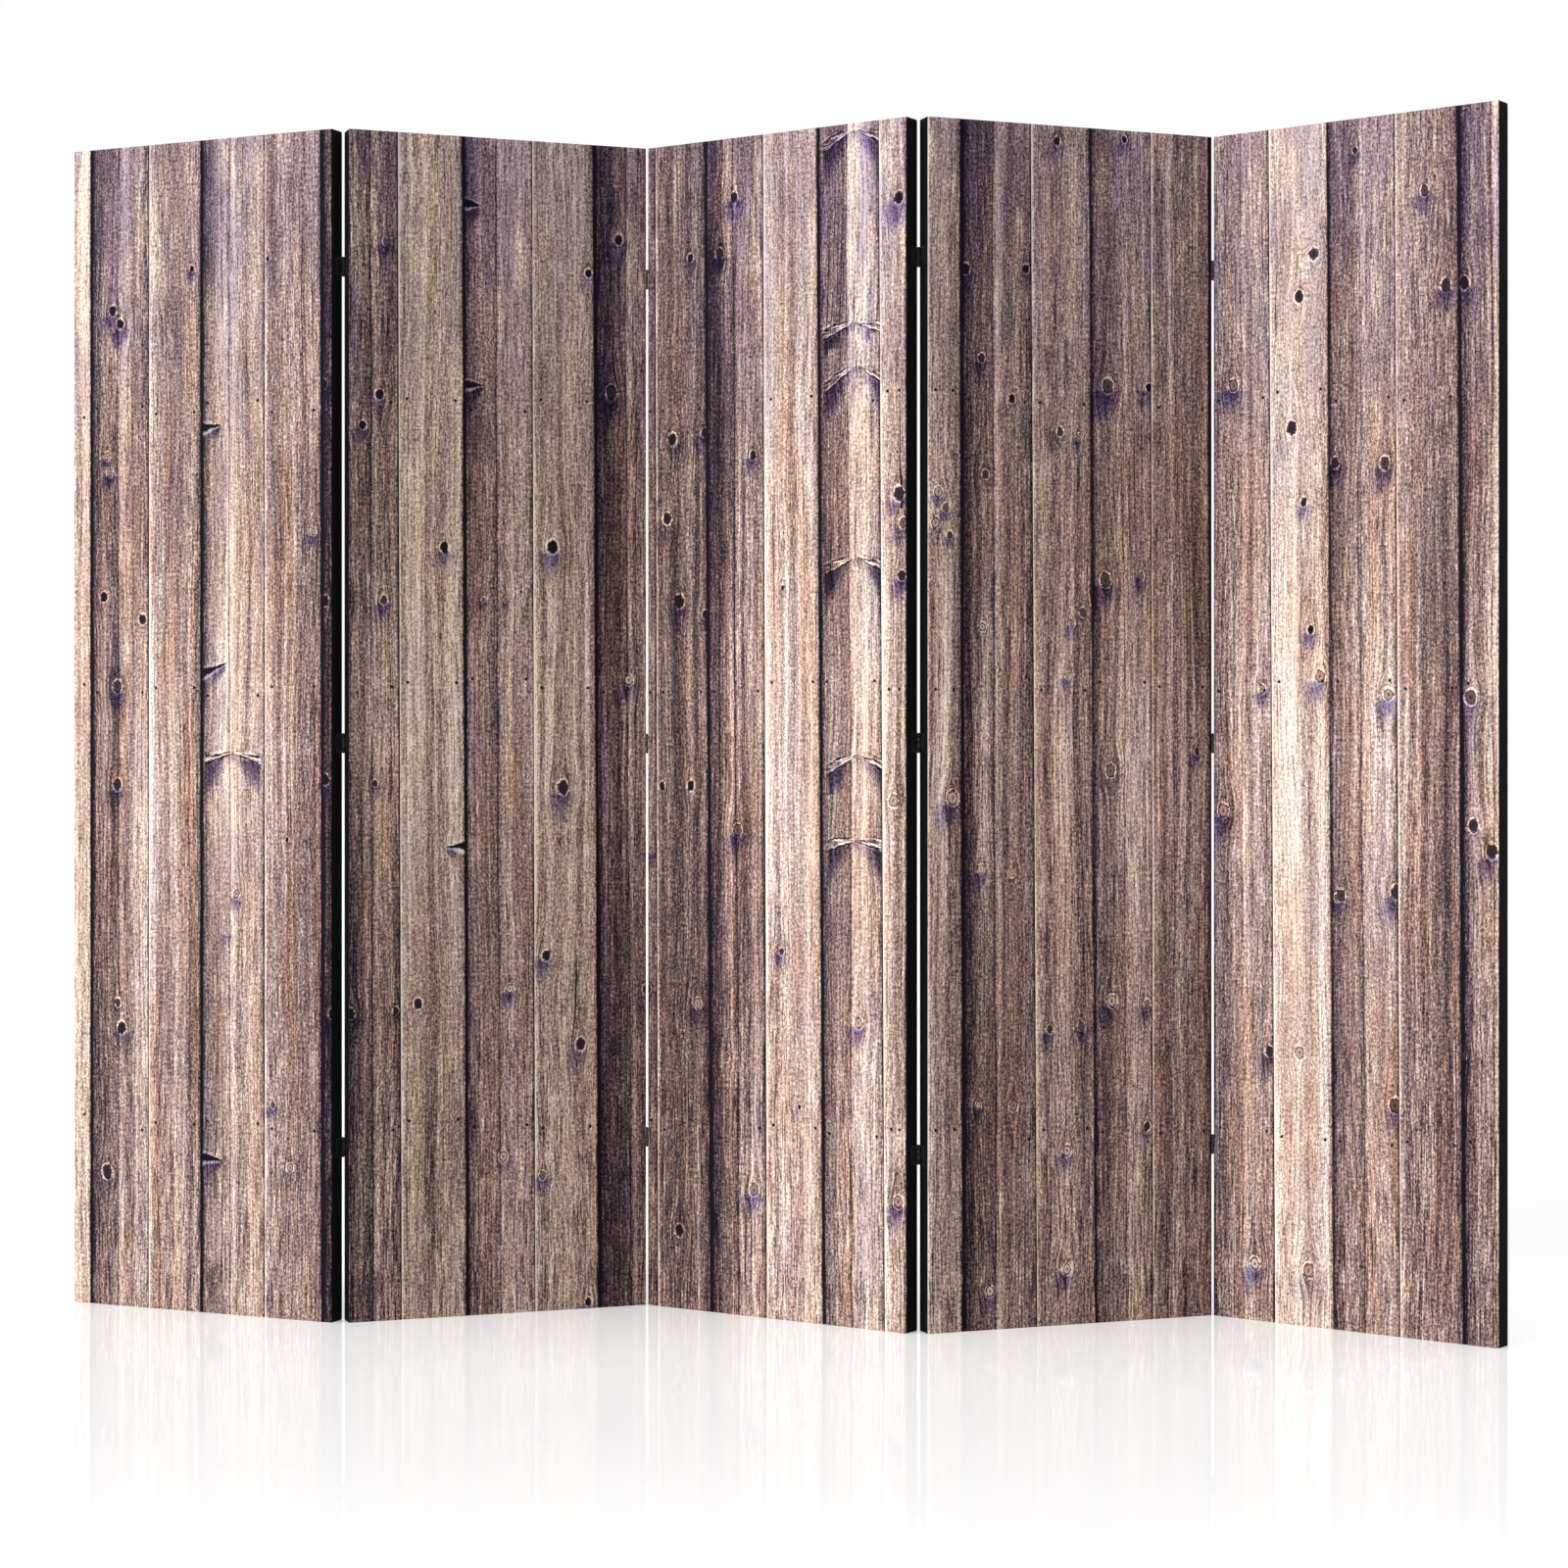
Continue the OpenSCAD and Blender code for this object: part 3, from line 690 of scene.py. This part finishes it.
def back_cover(panel):
    """The thin black cover on the back, drawn in between the staples and pressed in at each."""
    w, h, inset = WIDE / MM, TALL / MM, COVER_INSET / MM
    y0, y1 = (THICK - CLOTH_T) / MM + 0.05, THICK / MM
    xs = np.concatenate([np.linspace(inset, BORDER, 8), np.linspace(MIDDLE, w - MIDDLE, 12),
                         np.linspace(w - BORDER, w - inset, 8)])
    zs = np.concatenate([[inset], np.linspace(inset + 5, h - inset - 5, 215), [h - inset]])
    staples = [(x, z) for x in (STAPLE_INSET, w - STAPLE_INSET) for z in SIDE_STAPLES]
    staples += [(x, z) for z in (STAPLE_INSET, h - STAPLE_INSET) for x in END_STAPLES]

    def drawn_in(x, z):
        sway = PULL * (0.5 - 0.5 * math.cos(2 * math.pi * (z - SIDE_STAPLES[0]) / STAPLE_PITCH))
        if x < w / 2:
            return x + sway * max(0, 1 - (x - inset) / PULL_REACH)
        return x - sway * max(0, 1 - (w - inset - x) / PULL_REACH)

    def lift(x, z):
        d = min(math.hypot(x - sx, (z - sz) * 0.8) for sx, sz in staples)
        edge = min(x - inset, w - inset - x, z - inset, h - inset - z)
        ripple = RIPPLE * math.sin(z / 11 + x / 37) * math.exp(-max(edge, 0) / RIPPLE_REACH)
        return y1 - DENT * math.exp(-(d / DENT_R) ** 2) - SUNK + ripple

    nx, nz = len(xs), len(zs)
    verts = [(drawn_in(x, z), lift(x, z), z) for z in zs for x in xs]
    verts += [(drawn_in(x, z), y0, z) for z in zs for x in xs]
    half, faces = nx * nz, []
    for j in range(nz - 1):
        for i in range(nx - 1):
            a, b, c, d = j * nx + i, j * nx + i + 1, (j + 1) * nx + i + 1, (j + 1) * nx + i
            faces += [(d, c, b, a), (a + half, b + half, c + half, d + half)]
    ring = rim(nx, nz)
    for a, b in zip(ring, ring[1:] + ring[:1]):
        faces.append((a, b, b + half, a + half))
    return add_object(f"panel_{panel}_backing", np.array(verts) * MM, faces, panel, (BACKING,))


BOARDS_PRINT = printed_boards()
BLACK_CANVAS = black_cloth("black_canvas", THREAD, (9, 9, 10), (17, 17, 19), (26, 26, 29))
BACKING = black_cloth("backing_cloth", 0.0008, (22, 22, 24), (36, 36, 39), (56, 56, 60))
HINGE = metal("hinge_black", (10, 10, 11), (52, 50, 48), 0.0, 0.38)
PIN = metal("hinge_pin", (16, 16, 17), (96, 94, 92), 0.6, 0.32)
SCREW = metal("screw_black", (12, 12, 13), (70, 68, 66), 0.3, 0.34)
STEEL = metal("staple_steel", (120, 121, 124), (196, 197, 200), 1.0, 0.25)

STILES = ("left_stile", "right_stile")
RAILS = ("top_rail", "middle_rail", "bottom_rail")
for p in range(1, PANELS + 1):
    cloth = face_cloth(p)
    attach(cloth, f"panel_{p}")
    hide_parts(f"panel_{p}_front_canvas")
    cover = back_cover(p)
    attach(cover, f"panel_{p}")
    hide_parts(f"panel_{p}_back_cover")


def repaint(node, material):
    """Gives a CAD node a new material and leaves its mesh alone."""
    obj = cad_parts[node]
    for s in obj.material_slots:
        s.material = material
    if not obj.material_slots:
        obj.data.materials.append(material)


for p, heading in sorted(headings().items()):
    stile = pine(f"pine_stile_{p}", heading, "z")
    rail = pine(f"pine_rail_{p}", heading, "x")
    for part in STILES:
        repaint(f"panel_{p}_{part}", stile)
    for part in RAILS:
        repaint(f"panel_{p}_{part}", rail)
    repaint(f"panel_{p}_staples", STEEL)
    repaint(f"panel_{p}_hinge_screws", SCREW)
for f in range(1, PANELS):
    repaint(f"fold_{f}_left_leaves", HINGE)
    repaint(f"fold_{f}_right_leaves", HINGE)
    repaint(f"fold_{f}_pins", PIN)

# ---------------------------------------------------------------- stage and light
scene = bpy.context.scene
scene.view_settings.view_transform = "Standard"


FLOOR_HALF, DOME_R = 60.0, 58.0
GLOSS = 0.16                          # the floor's, beside the screen
GLOSS_START, GLOSS_END = 0.05, 1.9    # metres before and behind the screen's middle where it fades
FLOOR_GLOW, SHADE_LIFT_BESIDE = 0.10, 0.12  # the floor's glow keeps the pale floor evenly white; the extra glow beside the screen is painted light that lifts the shade the screen casts on the floor round its foot


def floor():
    n = Net("floor_white")
    _, y, _ = n.split(n.here())
    cloud = n.noise(n.here(), scale=1.5, detail=2)
    fade = n.smooth(abs(y), GLOSS_START, GLOSS_END, 1.0, 0.0)
    white = n.ramp(cloud, (0.3, (0.79, 0.79, 0.79)), (0.7, (0.81, 0.81, 0.81)))
    # the emission brightens the whole floor evenly, and more beside the screen, where it is painted
    # light that fills the screen's shade round its foot
    material = n.finish(Base_Color=white, Roughness=0.03,
                        Specular_IOR_Level=fade * fade * GLOSS,
                        Emission_Color=(1.0, 1.0, 1.0),
                        Emission_Strength=FLOOR_GLOW + fade * fade * fade * SHADE_LIFT_BESIDE)
    s = FLOOR_HALF
    mesh = bpy.data.meshes.new("floor")
    mesh.from_pydata([(-s, -s, 0), (s, -s, 0), (s, s, 0), (-s, s, 0)], [], [(0, 1, 2, 3)])
    stage("floor", mesh, material)


def stage(name, mesh, material):
    mesh.materials.append(material)
    obj = bpy.data.objects.new(name, mesh)
    bpy.context.collection.objects.link(obj)
    return obj


def backdrop():
    """A white dome that only the camera and reflections see, so that it adds no light of its own."""
    mesh = bpy.data.meshes.new("backdrop")
    bm = bmesh.new()
    bmesh.ops.create_uvsphere(bm, u_segments=48, v_segments=24, radius=DOME_R)
    bm.to_mesh(mesh)
    bm.free()
    n = Net("backdrop_white")
    glow = n.node("ShaderNodeEmission")
    n.put(glow.inputs["Color"], (1, 1, 1))
    n.put(glow.inputs["Strength"], 1.0)
    n.tree.links.new(glow.outputs[0], n.node("ShaderNodeOutputMaterial").inputs[0])
    obj = stage("backdrop", mesh, n.material)
    obj.visible_diffuse = False
    obj.visible_shadow = False


def sun(name, direction, strength, soft):
    """A sun that shines along direction; soft is its width in degrees."""
    light = bpy.data.lights.new(name, "SUN")
    light.energy = strength * math.pi
    light.angle = math.radians(soft)
    obj = bpy.data.objects.new(name, light)
    bpy.context.collection.objects.link(obj)
    obj.rotation_mode = "QUATERNION"
    obj.rotation_quaternion = Vector(direction).to_track_quat("-Z", "Y")


# How bright each light is: 1 makes a white sheet that faces it squarely full white.
KEY_LIGHT, OVERHEAD_LIGHT, SKY_LIGHT = 0.72, 0.50, 0.52

floor()
backdrop()
sun("key", (0.80, 0.48, -0.30), KEY_LIGHT, 14)
sun("overhead", (0.0, 0.05, -1.0), OVERHEAD_LIGHT, 40)
world = bpy.data.worlds.new("studio")
scene.world = world
world.use_nodes = True
sky = world.node_tree.nodes["Background"]
sky.inputs["Color"].default_value = (1, 1, 1, 1)
sky.inputs["Strength"].default_value = SKY_LIGHT
